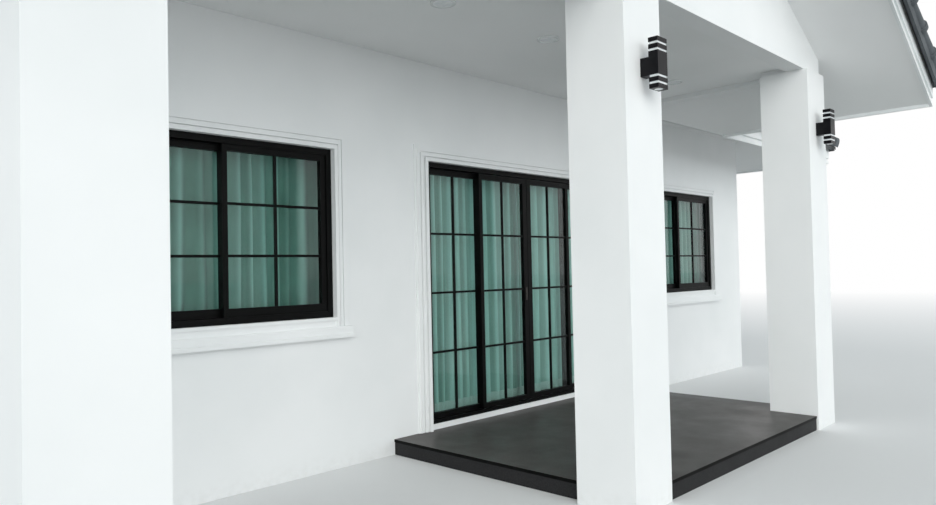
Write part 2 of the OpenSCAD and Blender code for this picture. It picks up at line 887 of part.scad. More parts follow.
// The sill under that band: its face leans out from its top to its lower part and ends in a sharp drip edge
module window_sill() {
    half = window_w / 2 + trim_w + sill_ear;
    top = window_low_z - sill_band;
    along_x(-half, half, [
        [0, top - sill_h], [-sill_out, top - sill_h], [-sill_out, top - sill_h * 0.72],
        [-sill_out * 0.86, top - sill_h * 0.6], [-sill_out * 0.8, top - sill_h * 0.2],
        [-sill_out * 0.74, top], [0, top]
    ]);
}

module window_frames() { color("black") at_places(all_windows) window_frame(); }

module window_sashes() { color("black") at_places(all_windows) window_sash_pair(); }

module window_glass() { color("darkcyan") at_places(all_windows) window_pane_pair(); }

module window_trims() { color("white") at_places(all_windows) window_trim(); }

module window_sills() { color("white") at_places(all_windows) window_sill(); }

// Door

door_place = [[door_x, front_y, 0]];
door_inner = door_w / 2 - door_frame_face;
leaf_w = door_inner / 2 + leaf_overlap / 2;
leaf_z0 = threshold_z + door_frame_foot;
leaf_z1 = head_z - door_frame_head;
front_leaf_y = frame_inset + leaf_inset;
rear_leaf_y = frame_inset + rear_track;

// A door leaf from its left edge, with the widths of its left and right stiles
module leaf(x0, y0, z0, z1, left, right) {
    ring(x0, x0 + leaf_w, z0, z1, y0, y0 + leaf_t, left, right, bottom_rail, top_rail);
}

module leaf_pane(x0, y0, z0, z1, left, right) {
    y = y0 + (leaf_t - glass_t) / 2;
    box([x0 + left, y, z0 + bottom_rail], [x0 + leaf_w - right, y + glass_t, z1 - top_rail]);
}

module door_frame() {
    color("black") at_places(door_place)
        ring(-door_w / 2, door_w / 2, threshold_z, head_z, frame_inset, frame_inset + frame_depth,
            door_frame_face, door_frame_face, door_frame_foot, door_frame_head);
}

// The four leaves: [left edge, width of the left stile, width of the right stile]
fixed_leaves = [
    [-door_inner, stile_face, leaf_meeting_face],
    [door_inner - leaf_w, leaf_meeting_face, stile_face]
];
left_leaf = [-leaf_clear / 2 - leaf_w, leaf_meeting_face, stile_face];
right_leaf = [leaf_clear / 2, stile_face, leaf_meeting_face];

module door_fixed_leaves() {
    color("black") at_places(door_place) for (f = fixed_leaves)
        leaf(f[0], rear_leaf_y, leaf_z0, leaf_z1, f[1], f[2]);
}

module door_fixed_glass() {
    color("darkcyan") at_places(door_place) for (f = fixed_leaves)
        leaf_pane(f[0], rear_leaf_y, leaf_z0, leaf_z1, f[1], f[2]);
}

// The levels of a leaf that slides, clear of the frame's head and foot
sliding_z0 = leaf_z0 + leaf_clear;
sliding_z1 = leaf_z1 - leaf_clear;

module door_leaf_left() {
    color("black") at_places(door_place)
        leaf(left_leaf[0], front_leaf_y, sliding_z0, sliding_z1, left_leaf[1], left_leaf[2]);
}

module door_leaf_right() {
    color("black") at_places(door_place)
        leaf(right_leaf[0], front_leaf_y, sliding_z0, sliding_z1, right_leaf[1], right_leaf[2]);
}

module door_glass_left() {
    color("darkcyan") at_places(door_place)
        leaf_pane(left_leaf[0], front_leaf_y, sliding_z0, sliding_z1, left_leaf[1], left_leaf[2]);
}

module door_glass_right() {
    color("darkcyan") at_places(door_place)
        leaf_pane(right_leaf[0], front_leaf_y, sliding_z0, sliding_z1, right_leaf[1], right_leaf[2]);
}

// The lock on the left sliding leaf's meeting stile
module door_lock() {
    z = threshold_z + lock_height;
    x = left_leaf[0] + leaf_w - stile_face / 2;
    color("dimgrey") at_places(door_place) {
        box([x - lock_plate_w / 2, front_leaf_y - lock_plate_t, z - lock_plate_h / 2],
            [x + lock_plate_w / 2, front_leaf_y, z + lock_plate_h / 2]);
        translate([x, front_leaf_y - lock_plate_t, z]) rotate([90, 0, 0])
            cylinder(h = lock_plate_t, r = lock_thumb_d / 2);
    }
}

module door_trim() {
    color("white") at_places(door_place) trim(door_w / 2, deck_z, head_z);
}

// Lamps

lamp_y = column_front_y - lamp_gap - lamp_d;
bracket_z = lamp_z - lamp_bracket_drop;
lens_r = lamp_d / 2 - lamp_wall;

// Thickness of a lamp's lenses, which lie level with its ends
lens_t = 6;

// The bands of a lamp from the top down, each as [lower edge, upper edge] from the lamp's middle
ring_far = lamp_h / 2 - lamp_cap_h;
ring_near = ring_far - lamp_ring_h - lamp_ring_gap;
lamp_rings = [
    [ring_far - lamp_ring_h, ring_far], [ring_near - lamp_ring_h, ring_near],
    [-ring_far, -ring_far + lamp_ring_h], [-ring_near, -ring_near + lamp_ring_h]
];
lamp_blacks = [
    [ring_far, lamp_h / 2], [ring_near, ring_far - lamp_ring_h],
    [-ring_near + lamp_ring_h, ring_near - lamp_ring_h],
    [-ring_far + lamp_ring_h, -ring_near], [-lamp_h / 2, -ring_far]
];

module lamp_band(x, band, inset) {
    box([x - lamp_w / 2 + inset, lamp_y + inset, lamp_z + band[0]],
        [x + lamp_w / 2 - inset, lamp_y + lamp_d - inset, lamp_z + band[1]]);
}

// The lamps' bores for their lenses, at the bottom and the top
module lamp_bores(x) {
    depth = lens_t;
    for (z = [-lamp_h / 2 - over, lamp_h / 2 - depth])
        translate([x, lamp_y + lamp_d / 2, lamp_z + z]) cylinder(h = depth + over, r = lens_r);
}

module wall_lamps() {
    color("black") for (x = columns_x) difference() {
        union() {
            for (band = lamp_blacks) lamp_band(x, band, 0);
            box([x - lamp_bracket_w / 2, lamp_y + lamp_d, bracket_z - lamp_bracket_h / 2],
                [x + lamp_bracket_w / 2, column_front_y, bracket_z + lamp_bracket_h / 2]);
        }
        lamp_bores(x);
    }
}

module wall_lamp_rings() {
    color("white") for (x = columns_x, band = lamp_rings) lamp_band(x, band, lamp_ring_inset);
}

module wall_lamp_lenses() {
    color("white") for (x = columns_x, z = [-lamp_h / 2, lamp_h / 2 - lens_t])
        translate([x, lamp_y + lamp_d / 2, lamp_z + z]) cylinder(h = lens_t, r = lens_r);
}

// The porch's ceiling lamps: two in each bay
left_bay_x = (left_column_x + middle_column_x) / 2;
middle_bay_x = (middle_column_x + right_column_x) / 2;
downlight_places = [
    for (x = [left_bay_x, middle_bay_x], s = [-1, 1]) [x + s * downlight_x, front_y - porch_d / 2, 0]
];
can_r = downlight_d / 2 - downlight_rim_w;

module downlight_rims() {
    color("white") at_places(downlight_places) translate([0, 0, ceiling_z - downlight_rim_t]) difference() {
        cylinder(h = downlight_rim_t, r = downlight_d / 2);
        translate([0, 0, -over]) cylinder(h = 2 * over, r = can_r);
    }
}

module downlight_lenses() {
    color("white") at_places(downlight_places)
        translate([0, 0, ceiling_z - downlight_rim_t / 2])
            cylinder(h = downlight_rim_t / 2 + ceiling_t, r = can_r);
}

// Curtains inside the windows and the door

curtain_y = wall_t + curtain_gap;

module curtain_rail(half_w) {
    box([-half_w, wall_t, head_z + rail_h], [half_w, curtain_y + curtain_t, head_z + 2 * rail_h]);
}

module curtain_rails() {
    color("white") {
        at_places(all_windows) curtain_rail(window_w / 2 + curtain_side);
        at_places(door_place) curtain_rail(door_w / 2 + curtain_side);
    }
}

module window_curtains() {
    half = window_w / 2 + curtain_side;
    color("lightgrey") at_places(all_windows)
        box([-half, curtain_y, window_low_z - curtain_below], [half, curtain_y + curtain_t, head_z + rail_h]);
}

module door_curtains() {
    half = door_w / 2 + curtain_side;
    color("lightgrey") at_places(door_place) for (s = [0, 1]) mirror([s, 0, 0])
        box([curtain_parting / 2, curtain_y, floor_z + curtain_off_floor],
            [half, curtain_y + curtain_t, head_z + rail_h]);
}

floor_slab();
door_threshold();
front_wall_left();
front_wall_right();
wall_over_door();
left_wall();
right_wall();
back_wall();
cornice();
room_ceiling();
deck_base();
deck_top();
column_left();
column_middle();
column_right();
gable_wall();
porch_side_beams();
porch_ceiling();
main_roof_front();
main_roof_right();
main_roof_back();
main_roof_left();
porch_roof_left();
porch_roof_right();
ridge_tiles();
verge_tiles();
main_fascia();
porch_fascia();
bargeboards();
main_soffit();
porch_soffit();
window_frames();
window_sashes();
window_glass();
window_trims();
window_sills();
door_frame();
door_fixed_leaves();
door_fixed_glass();
door_leaf_left();
door_leaf_right();
door_glass_left();
door_glass_right();
door_lock();
door_trim();
wall_lamps();
wall_lamp_rings();
wall_lamp_lenses();
downlight_rims();
downlight_lenses();
curtain_rails();
window_curtains();
door_curtains();
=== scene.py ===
"""The bungalow's finish: tiled roof slopes, glazing bars, curtains, materials, light and camera."""
import json
import math

import bmesh
import bpy
import numpy as np
from mathutils import Matrix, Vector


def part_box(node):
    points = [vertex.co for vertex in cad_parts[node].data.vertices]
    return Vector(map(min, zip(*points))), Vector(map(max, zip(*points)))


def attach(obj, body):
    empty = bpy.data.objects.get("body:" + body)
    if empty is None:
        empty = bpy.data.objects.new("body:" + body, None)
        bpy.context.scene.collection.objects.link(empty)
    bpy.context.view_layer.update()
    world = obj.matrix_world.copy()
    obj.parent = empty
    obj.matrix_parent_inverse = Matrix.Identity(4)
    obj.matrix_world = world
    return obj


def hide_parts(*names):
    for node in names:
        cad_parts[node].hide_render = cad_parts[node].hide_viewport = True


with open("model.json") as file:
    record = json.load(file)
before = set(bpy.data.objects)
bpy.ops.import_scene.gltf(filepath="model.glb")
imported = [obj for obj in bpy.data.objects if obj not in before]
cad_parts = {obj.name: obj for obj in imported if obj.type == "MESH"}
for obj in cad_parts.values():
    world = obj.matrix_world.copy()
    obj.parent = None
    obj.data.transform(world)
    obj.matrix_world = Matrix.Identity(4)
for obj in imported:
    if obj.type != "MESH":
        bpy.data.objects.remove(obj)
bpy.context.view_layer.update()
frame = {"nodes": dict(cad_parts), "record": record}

# Everything is in metres. The front faces -Y.
MM = 0.001

# Helpers for colours, nodes and meshes

# Points closer than this become one, and edges shorter than this go
MERGE_GAP = 0.02 * MM
SHORT_EDGE = 0.01 * MM


def linear(code):
    """An sRGB hex colour as linear red, green, blue and a full alpha, by the curve of the sRGB standard."""
    parts = np.array([int(code[i:i + 2], 16) for i in (1, 3, 5)]) / 255
    dark = parts / 12.92
    light = ((parts + 0.055) / 1.055) ** 2.4
    return (*np.where(parts <= 0.04045, dark, light), 1.0)


def add(tree, kind, sockets, **settings):
    """Adds a node and gives its outputs. Each socket takes a plain value or the output that feeds it.

    A colour Mix has its share in socket 0 and its colours in 6 and 7, and gives output 2.
    """
    made = tree.nodes.new("ShaderNode" + kind)
    for name, value in settings.items():
        setattr(made, name, value)
    for name, value in sockets.items():
        if isinstance(value, bpy.types.NodeSocket):
            tree.links.new(value, made.inputs[name])
        else:
            made.inputs[name].default_value = value
    return made.outputs


def start_finish(name, first, roughness, second=None, patch=None, grains=(), ior=1.5, gloss=0.5):
    """A new material in its first colour, which may wander to a second in soft patches, over fine bumps.

    patch is the patches' size in metres, each of the grains is (size and depth in metres, strength), and
    gloss is the shader's level of plain reflection. Gives the material, its tree, its shader, the place in
    object space and the wandering colour, which is None where there is no second.
    """
    finish = bpy.data.materials.new(name)
    finish.use_nodes = True
    tree = finish.node_tree
    shader = tree.nodes["Principled BSDF"]
    shader.inputs["Base Color"].default_value = linear(first)
    shader.inputs["Roughness"].default_value = roughness
    shader.inputs["IOR"].default_value = ior
    shader.inputs["Specular IOR Level"].default_value = gloss
    place = add(tree, "TexCoord", {})["Object"]
    tone = None
    if second:
        clouds = add(tree, "TexNoise", {"Vector": place, "Scale": 1 / patch, "Detail": 3.0})["Fac"]
        share = add(tree, "MapRange", {"Value": clouds, "From Min": 0.35, "From Max": 0.7})["Result"]
        tone = add(tree, "Mix", {0: share, 6: linear(first), 7: linear(second)}, data_type="RGBA")[2]
        tree.links.new(tone, shader.inputs["Base Color"])
    normal = None
    for size, depth, strength in grains:
        lumps = add(tree, "TexNoise", {"Vector": place, "Scale": 1 / size, "Detail": 2.0})["Fac"]
        sockets = {"Height": lumps, "Distance": depth, "Strength": strength}
        if normal is not None:
            sockets["Normal"] = normal
        normal = add(tree, "Bump", sockets)["Normal"]
        tree.links.new(normal, shader.inputs["Normal"])
    return finish, tree, shader, place, tone


def make_piece(name, points, faces, finish, body="root", smooth_angle=None, uv=None, fold=None):
    """A closed mesh piece from points and faces, with its doubles merged and its faces turned outwards.

    uv gives one pair of numbers for each point, and fold one number for each point.
    """
    mesh = bpy.data.meshes.new(name)
    mesh.from_pydata(np.asarray(points, dtype=float).tolist(), [], faces)
    if uv is not None:
        layer = mesh.uv_layers.new(name="UVMap")
        corner_points = np.empty(len(mesh.loops), dtype=np.int32)
        mesh.loops.foreach_get("vertex_index", corner_points)
        layer.data.foreach_set("uv", np.asarray(uv, dtype=np.float32)[corner_points].ravel())
    if fold is not None:
        crests = mesh.attributes.new("fold", "FLOAT", "POINT")
        crests.data.foreach_set("value", np.asarray(fold, dtype=np.float32).ravel())
    shape = bmesh.new()
    shape.from_mesh(mesh)
    bmesh.ops.remove_doubles(shape, verts=shape.verts, dist=MERGE_GAP)
    bmesh.ops.dissolve_degenerate(shape, edges=shape.edges, dist=SHORT_EDGE)
    bmesh.ops.recalc_face_normals(shape, faces=shape.faces)
    shape.to_mesh(mesh)
    shape.free()
    if smooth_angle is not None:
        mesh.shade_smooth()
        mesh.set_sharp_from_angle(angle=math.radians(smooth_angle))
    mesh.materials.append(finish)
    piece = bpy.data.objects.new(name, mesh)
    bpy.context.scene.collection.objects.link(piece)
    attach(piece, body)
    return piece


def grid_faces(rows, columns, start=0):
    """The quads of a grid of points, row after row."""
    first = (np.arange(rows - 1)[:, None] * columns + np.arange(columns - 1)[None, :]).ravel() + start
    return np.stack([first, first + 1, first + columns + 1, first + columns], axis=1).tolist()


def grid_rim(rows, columns):
    """The numbers of a grid's border points, in order once round it."""
    index = np.arange(rows * columns).reshape(rows, columns)
    return np.concatenate([index[0, :-1], index[:-1, -1], index[-1, :0:-1], index[:0:-1, 0]])


# Finishes

# Masonry paint, rolled in two coats on trowelled cement render: matt, faintly wavy, with a fine roller
# stipple and a little splashed dust low down. The stipple is 1 mm in the real paint and is drawn 4 mm coarse
# so that it shows.
masonry_paint, tree, shader, place, tone = start_finish(
    "Masonry paint on trowelled render", "#F6F7F7", 0.72, second="#EFF1F1", patch=0.9,
    grains=[(0.18, 0.0035, 0.35), (0.004, 0.0006, 0.3)])
height = add(tree, "SeparateXYZ", {"Vector": place})["Z"]
low_down = add(tree, "MapRange", {
    "Value": height, "From Max": 0.15, "To Min": 0.12, "To Max": 0.0})["Result"]
specks = add(tree, "TexNoise", {"Vector": place, "Scale": 1 / 0.05, "Detail": 5.0})["Fac"]
specks = add(tree, "MapRange", {"Value": specks, "From Min": 0.42, "From Max": 0.7})["Result"]
splash = add(tree, "Math", {0: low_down, 1: specks}, operation="MULTIPLY")["Value"]
tone = add(tree, "Mix", {0: splash, 6: tone, 7: linear("#B9B6AE")}, data_type="RGBA")[2]
tree.links.new(tone, shader.inputs["Base Color"])

# Emulsion on fibre-cement boards, sprayed: matt and even, a shade cooler than the walls, with a grain drawn
# 5 mm coarse so that it shows
board_paint = start_finish(
    "Emulsion on fibre-cement board", "#F6F7F7", 0.8, second="#EEF0EF", patch=1.4,
    grains=[(0.005, 0.0004, 0.25)])[0]

# Satin alkyd paint on fibre-cement fascia boards, brushed along the board: a soft sheen with long brush marks
fascia_paint, tree, shader, place, _ = start_finish(
    "Satin paint on fascia board", "#F5F7F7", 0.42, second="#E6EAEA", patch=0.5)
along_board = add(tree, "Mapping", {"Vector": place, "Scale": (0.04, 0.04, 1.0)})["Vector"]
marks = add(tree, "TexNoise", {"Vector": along_board, "Scale": 1 / 0.006, "Detail": 3.0})["Fac"]
normal = add(tree, "Bump", {"Height": marks, "Distance": 0.0005, "Strength": 0.35})["Normal"]
tree.links.new(normal, shader.inputs["Normal"])

# Black granite in three bands, told apart by height. The walking surface, honed, is a warm charcoal, painted
# paler than the riser partly as painted reflection of the sky. The slab's edge and the joint under it, 26 mm
# in
# all, are black: partly the slab's polished edge and partly a painted shadow line under it. The riser, fine
# sawn, is a dark grey, darker partly as painted shade. Its crystals of 3 mm, with a few grey flecks on top,
# are drawn 5 mm coarse so that they show.
DECK_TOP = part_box("deck_top")[1].z
EDGE_AND_SHADOW_FOOT = DECK_TOP - 26 * MM
granite, tree, shader, place, honed_with_painted_reflection = start_finish(
    "Black granite with painted shade and reflection", "#4E4C4A", 0.4, second="#5A5856", patch=0.4, gloss=0.1)
crystals = add(tree, "TexVoronoi", {"Vector": place, "Scale": 1 / 0.005})["Color"]
split = add(tree, "SeparateColor", {"Color": crystals})
# The riser's dark grey is partly its sawn finish and partly painted shade
sawn_with_painted_shade = add(tree, "Mix", {0: split["Red"], 6: linear("#272728"), 7: linear("#323233")}, data_type="RGBA")[2]
height = add(tree, "SeparateXYZ", {"Vector": place})["Z"]
edge_and_painted_shadow = add(tree, "MapRange", {
    "Value": height, "From Min": EDGE_AND_SHADOW_FOOT, "From Max": EDGE_AND_SHADOW_FOOT + MM})["Result"]
on_top = add(tree, "MapRange", {
    "Value": height, "From Min": DECK_TOP - 1.5 * MM, "From Max": DECK_TOP - 0.5 * MM})["Result"]
# The black band is partly the slab's polished edge and partly a painted shadow line under it
base = add(tree, "Mix", {0: edge_and_painted_shadow, 6: sawn_with_painted_shade, 7: linear("#040404")}, data_type="RGBA")[2]
# The top's paler charcoal is partly its honed finish and partly painted reflection of the sky
base = add(tree, "Mix", {0: on_top, 6: base, 7: honed_with_painted_reflection}, data_type="RGBA")[2]
flecks = add(tree, "MapRange", {
    "Value": split["Green"], "From Min": 0.95, "From Max": 0.97, "To Max": 0.3})["Result"]
flecks = add(tree, "Math", {0: flecks, 1: on_top}, operation="MULTIPLY")["Value"]
base = add(tree, "Mix", {0: flecks, 6: base, 7: linear("#77787A")}, data_type="RGBA")[2]
tree.links.new(base, shader.inputs["Base Color"])
wear = add(tree, "TexNoise", {"Vector": place, "Scale": 1 / 0.25, "Detail": 3.0})["Fac"]
wear = add(tree, "MapRange", {
    "Value": wear, "From Min": 0.3, "From Max": 0.7, "To Min": 0.34, "To Max": 0.46})["Result"]
tree.links.new(wear, shader.inputs["Roughness"])
normal = add(tree, "Bump", {"Height": split["Red"], "Distance": 0.0002, "Strength": 0.15})["Normal"]
tree.links.new(normal, shader.inputs["Normal"])

# Through-coloured concrete roof tile, extruded and sand-faced: charcoal, matt and gritty, each tile a little
# lighter or darker, with pale weathering. The UV map counts tiles: one unit is one tile. The sand of 1 mm is
# drawn 3 mm coarse so that it shows.
SAND = 3 * MM
SAND_SHADE = "#34373A"
roof_tile, tree, shader, place, _ = start_finish(
    "Charcoal concrete roof tile", "#4A4D50", 0.82, grains=[(SAND, 0.0007, 0.5)])
tile_count = add(tree, "UVMap", {}, uv_map="UVMap")["UV"]
whole = add(tree, "VectorMath", {0: tile_count}, operation="FLOOR")["Vector"]
each_tile = add(tree, "TexWhiteNoise", {"Vector": whole}, noise_dimensions="2D")["Value"]
tone = add(tree, "Mix", {0: each_tile, 6: linear("#43464A"), 7: linear("#575A5D")}, data_type="RGBA")[2]
weather = add(tree, "TexNoise", {"Vector": place, "Scale": 1 / 0.22, "Detail": 5.0})["Fac"]
weather = add(tree, "MapRange", {
    "Value": weather, "From Min": 0.5, "From Max": 0.75, "To Max": 0.4})["Result"]
tone = add(tree, "Mix", {0: weather, 6: tone, 7: linear("#74756F")}, data_type="RGBA")[2]
grit = add(tree, "TexNoise", {"Vector": place, "Scale": 1 / SAND, "Detail": 2.0})["Fac"]
grit = add(tree, "MapRange", {"Value": grit, "From Min": 0.35, "From Max": 0.65, "To Max": 0.35})["Result"]
tone = add(tree, "Mix", {0: grit, 6: tone, 7: linear(SAND_SHADE)}, data_type="RGBA")[2]
tree.links.new(tone, shader.inputs["Base Color"])

# The same concrete, moulded as ridge and verge tiles: a shade paler, with the same sand and a cast waviness
cap_tile, tree, shader, place, tone = start_finish(
    "Charcoal concrete cap tile", "#54595D", 0.8, second="#6C7175", patch=0.3,
    grains=[(0.012, 0.0015, 0.4), (SAND, 0.0007, 0.5)])
grit = add(tree, "TexNoise", {"Vector": place, "Scale": 1 / SAND, "Detail": 2.0})["Fac"]
grit = add(tree, "MapRange", {"Value": grit, "From Min": 0.35, "From Max": 0.65, "To Max": 0.35})["Result"]
tone = add(tree, "Mix", {0: grit, 6: tone, 7: linear(SAND_SHADE)}, data_type="RGBA")[2]
tree.links.new(tone, shader.inputs["Base Color"])

# Cement mortar tinted dark, struck under the ridge tiles by trowel: matt, rough and patchy
mortar = start_finish(
    "Tinted bedding mortar", "#4C4D4F", 0.9, second="#6E6E6C", patch=0.06, grains=[(0.02, 0.003, 0.6)])[0]

# Aluminium, powder-coated fine-texture black: near black with a soft sheen and an orange-peel grain of
# 0.5 mm, drawn 2 mm coarse so that it shows
black_aluminium = start_finish(
    "Black powder-coated aluminium", "#040505", 0.38, second="#080909", patch=0.12,
    grains=[(0.002, 0.0002, 0.25)], gloss=0.13)[0]

# Float glass, tinted green in the mass: clear and flat, with the faint roll of heat-treated panes. Its IOR
# is set under the real 1.52, because the plain white round the house would mirror too strongly.
tinted_glass, _, shader, _, _ = start_finish(
    "Green-tinted float glass", "#DDF6F2", 0.0, grains=[(0.35, 0.0012, 0.35)], ior=1.42)
shader.inputs["Transmission Weight"].default_value = 1.0

# Porcelain floor tile, glazed and laid with 3 mm grey grout on a 600 mm grid
floor_porcelain, tree, shader, place, tone = start_finish(
    "Glazed porcelain floor tile", "#CFCCC4", 0.18, second="#C3C0B8", patch=0.5, ior=1.52)
grout = add(tree, "TexBrick", {
    "Vector": place, "Scale": 1.0, "Brick Width": 0.6, "Row Height": 0.6, "Mortar Size": 0.003,
    "Color1": tone, "Color2": tone, "Mortar": linear("#8E8C88")}, offset=0.0)
tree.links.new(grout["Color"], shader.inputs["Base Color"])
normal = add(tree, "Bump", {
    "Height": grout["Fac"], "Distance": 0.001, "Strength": 0.5}, invert=True)["Normal"]
tree.links.new(normal, shader.inputs["Normal"])

# Die-cast lamp body, powder-coated black: satin with a very fine grain, drawn 2 mm coarse so that it shows
lamp_black = start_finish(
    "Black powder-coated lamp casting", "#060509", 0.33, second="#0E0D12", patch=0.05,
    grains=[(0.002, 0.0002, 0.3)], gloss=0.2)[0]

# Opal acrylic rings in the lamp, moulded: milky white, glossy, and slightly see-through
lamp_opal, _, shader, _, _ = start_finish(
    "Opal acrylic lamp ring", "#EEF1F2", 0.22, second="#DCE1E4", patch=0.04, ior=1.49)
shader.inputs["Subsurface Weight"].default_value = 0.2
shader.inputs["Subsurface Radius"].default_value = (0.006, 0.006, 0.006)

# Frosted glass lens, sand-blasted: white and softly glossy with a fine grain, drawn 2 mm coarse so that it
# shows
lamp_frost = start_finish(
    "Frosted glass lens", "#F6F8F8", 0.35, second="#E4E9EC", patch=0.03, grains=[(0.002, 0.0002, 0.4)],
    ior=1.52)[0]

# Steel rims and rails, stove-enamelled white: smooth with a clear gloss
white_enamel = start_finish(
    "White stove enamel on steel", "#F1F3F3", 0.25, second="#E2E6E6", patch=0.08,
    grains=[(0.05, 0.0002, 0.2)])[0]

# Zinc lock case, black-nickel plated and brushed: dark grey metal with fine upright brush lines of 0.3 mm,
# drawn 1.5 mm apart so that they show
brushed_nickel, tree, shader, place, _ = start_finish(
    "Brushed black nickel plate", "#565552", 0.36, second="#403F3D", patch=0.02)
shader.inputs["Metallic"].default_value = 1.0
upright = add(tree, "Mapping", {"Vector": place, "Scale": (1.0, 1.0, 0.05)})["Vector"]
lines = add(tree, "TexNoise", {"Vector": upright, "Scale": 1 / 0.0015, "Detail": 3.0})["Fac"]
wear = add(tree, "MapRange", {
    "Value": lines, "From Min": 0.3, "From Max": 0.7, "To Min": 0.3, "To Max": 0.46})["Result"]
tree.links.new(wear, shader.inputs["Roughness"])
normal = add(tree, "Bump", {"Height": lines, "Distance": 0.0001, "Strength": 0.3})["Normal"]
tree.links.new(normal, shader.inputs["Normal"])

# Sheer polyester curtain, plain woven, with a soft sheen. Flat cloth is a pale jade, darkened by painted
# shade for the dim room behind it, while the crests of the folds are near white as painted highlights. The
# hem of
# 80 mm is near white too. Its threads, every 0.4 mm in the real cloth, are drawn 3 mm apart so that they
# show.
# The UV map runs in metres of cloth, and the attribute called fold, which carries this painted light and
# shade, is 1 where the cloth is whitest.
HEM = 80 * MM
curtain_cloth, tree, shader, place, tone = start_finish(
    "Woven polyester curtain", "#769E92", 0.85, second="#628A7D", patch=0.25)
cloth = add(tree, "UVMap", {}, uv_map="UVMap")["UV"]
# A wave texture of scale 1 has a band every 2 pi / 20 units.
thread_scale = 2 * math.pi / 20 / 0.003
weft = add(tree, "TexWave", {"Vector": cloth, "Scale": thread_scale}, bands_direction="X")["Fac"]
warp = add(tree, "TexWave", {"Vector": cloth, "Scale": thread_scale}, bands_direction="Y")["Fac"]
threads = add(tree, "Math", {0: weft, 1: warp}, operation="MULTIPLY")["Value"]
# Painted light and shade: where the fold attribute is high the cloth is painted near white
crest = add(tree, "Attribute", {}, attribute_name="fold")["Fac"]
tone = add(tree, "Mix", {0: crest, 6: tone, 7: linear("#E4FCF8")}, data_type="RGBA")[2]
up_cloth = add(tree, "SeparateXYZ", {"Vector": cloth})["Y"]
hem = add(tree, "MapRange", {
    "Value": up_cloth, "From Min": HEM - MM, "From Max": HEM + MM, "To Min": 0.75, "To Max": 0.0})["Result"]
tone = add(tree, "Mix", {0: hem, 6: tone, 7: linear("#F4F7F5")}, data_type="RGBA")[2]
tree.links.new(tone, shader.inputs["Base Color"])
shader.inputs["Sheen Weight"].default_value = 0.25
shader.inputs["Sheen Roughness"].default_value = 0.5
normal = add(tree, "Bump", {"Height": threads, "Distance": 0.0003, "Strength": 0.3})["Normal"]
tree.links.new(normal, shader.inputs["Normal"])

FINISHES = {
    "painted_render": masonry_paint,
    "painted_board": board_paint,
    "painted_fascia": fascia_paint,
    "granite": granite,
    "roof_tile": cap_tile,
    "black_aluminium": black_aluminium,
    "tinted_glass": tinted_glass,
    "floor_tile": floor_porcelain,
    "lamp_black": lamp_black,
    "lamp_white": lamp_opal,
    "lamp_lens": lamp_frost,
    "white_metal": white_enamel,
    "lock_metal": brushed_nickel,
    "curtain_cloth": curtain_cloth,
}

# Every CAD solid takes the finish that its row in the record names.
for part in frame["record"]["subparts"]:
    materials = frame["nodes"][part["node"]].data.materials
    materials.clear()
    materials.append(FINISHES[part["material_slot"]])

# Roof slopes

# The slopes' angle, how much of a tile shows up the slope, the same length in plan, and a tile's cover width
ROOF_PITCH = math.radians(28.1)
ROOF_SLOPE = math.tan(ROOF_PITCH)
TILE_SHOWN = 0.32
TILE_GAUGE = TILE_SHOWN * math.cos(ROOF_PITCH)
TILE_COVER = 0.30
# Heights inside the 60 mm layer: what lies under the tiles, a tile's rolls, and the step between courses
TILE_BASE = 12 * MM
TILE_ROLL = 22 * MM
TILE_STEP = 22 * MM
# How narrow the rolls are, and the groove at a tile's side lock: half its width, and its depth
ROLL_POWER = 1.4
GROOVE_HALF = 4 * MM
GROOVE_DEPTH = 6 * MM
# Where the columns of points stand across a tile: evenly, and at both edges of the groove
COLUMN_GAP = 25 * MM
EVEN_COLUMNS = COLUMN_GAP * np.arange(1, round(TILE_COVER / COLUMN_GAP))
TILE_COLUMNS = np.concatenate([[0.0, GROOVE_HALF], EVEN_COLUMNS, [TILE_COVER - GROOVE_HALF]])
# Where the rows of points stand in a course, as shares of the gauge
COURSE_ROWS = np.array([0.0, 0.004, 0.02, 0.06, 0.5, 0.998])
# The lift at shares of the gauge, as shares of the step: a rounded nose, which ends at NOSE_END, and then a
# straight fall to nothing where the next course covers it
NOSE_END = 0.06
LIFT_PLACES = [0.0, 0.004, 0.02, NOSE_END, 1.0]
LIFT_SHARES = [0.1, 0.75, 1.0, 0.97, 0.0]
# A row counts at most this share of the way up its own tile, so that it keeps that tile's colour
TILE_END = 0.99
# Points nearer than this to an edge are left out
EDGE_MARGIN = 1 * MM

# The roof's places, from the frame. The main eaves lie EDGE_X and EDGE_Y off the middle, and the porch's
# ridge runs from its front to JUNCTION_Y, where it meets the main roof. LAYER_RISE is the tiled layer's
# thickness, measured upright.
back_lo, back_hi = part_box("main_roof_back")
porch_lo, porch_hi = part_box("porch_roof_right")
EDGE_X = back_hi.x
EDGE_Y = back_hi.y
EAVE_Z = back_lo.z
RIDGE_END_X = EDGE_X - EDGE_Y
PORCH_RIDGE_X = porch_lo.x
PORCH_EDGE_X = porch_hi.x
PORCH_FRONT_Y = porch_lo.y
JUNCTION_Y = porch_hi.y
LAYER_RISE = back_hi.z - back_lo.z - EDGE_Y * ROOF_SLOPE


def tile_profile(across):
    """Height of a tile's rolls over its pan: two cosine rolls raised to a power, and a groove at its lock."""
    roll = (0.5 - 0.5 * np.cos(4 * math.pi * across / TILE_COVER)) ** ROLL_POWER
    from_lock = np.abs((across / TILE_COVER + 0.5) % 1.0 - 0.5) * TILE_COVER
    groove = np.clip(1 - from_lock / GROOVE_HALF, 0, 1) * GROOVE_DEPTH
    return TILE_ROLL * roll - groove


